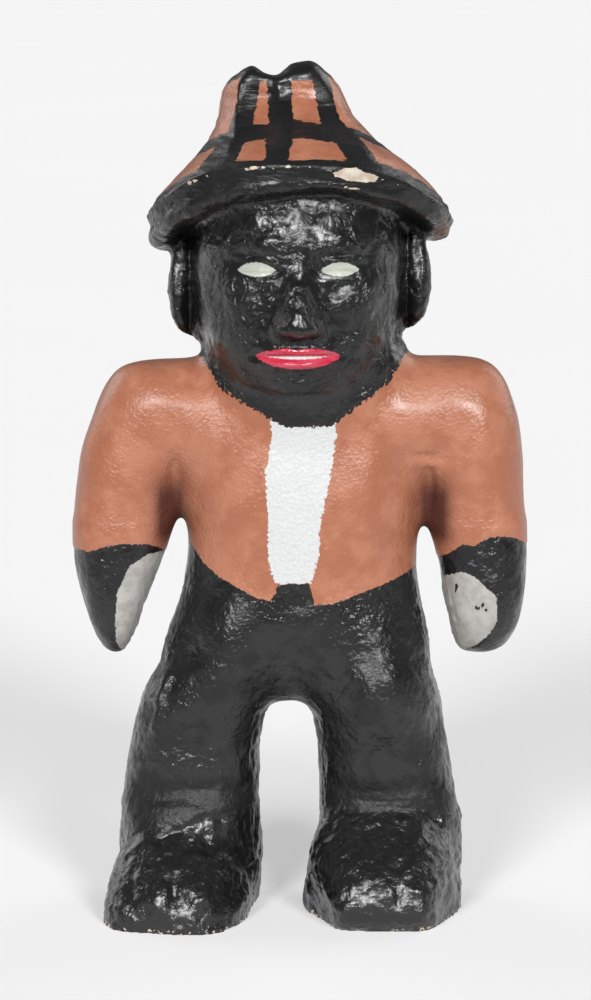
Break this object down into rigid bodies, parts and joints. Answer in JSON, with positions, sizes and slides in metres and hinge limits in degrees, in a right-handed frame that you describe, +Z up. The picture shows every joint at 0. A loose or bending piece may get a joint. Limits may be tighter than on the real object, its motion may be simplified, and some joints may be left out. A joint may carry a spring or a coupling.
{
  "type": "painted man figure",
  "caption": "Standing folk-art figure of a man in a brimmed hat, open jacket and boots, hand modelled as one solid and painted with enamel.",
  "frame": {"origin": "centre of the footprint of the whole figure, on the plane of both soles", "axes": "+Z up from the soles to the hat, the figure faces -Y, its right hand is towards -X"},
  "size_m": [0.2144, 0.1344, 0.4],
  "materials": {
    "enamel_paint": "brushed gloss enamel, black on head, trousers, boots and hands, sienna on jacket and hat panels, white on the shirt front"
  },
  "bodies": {
    "root": {"man_figure": "enamel_paint"}
  },
  "joints": []
}
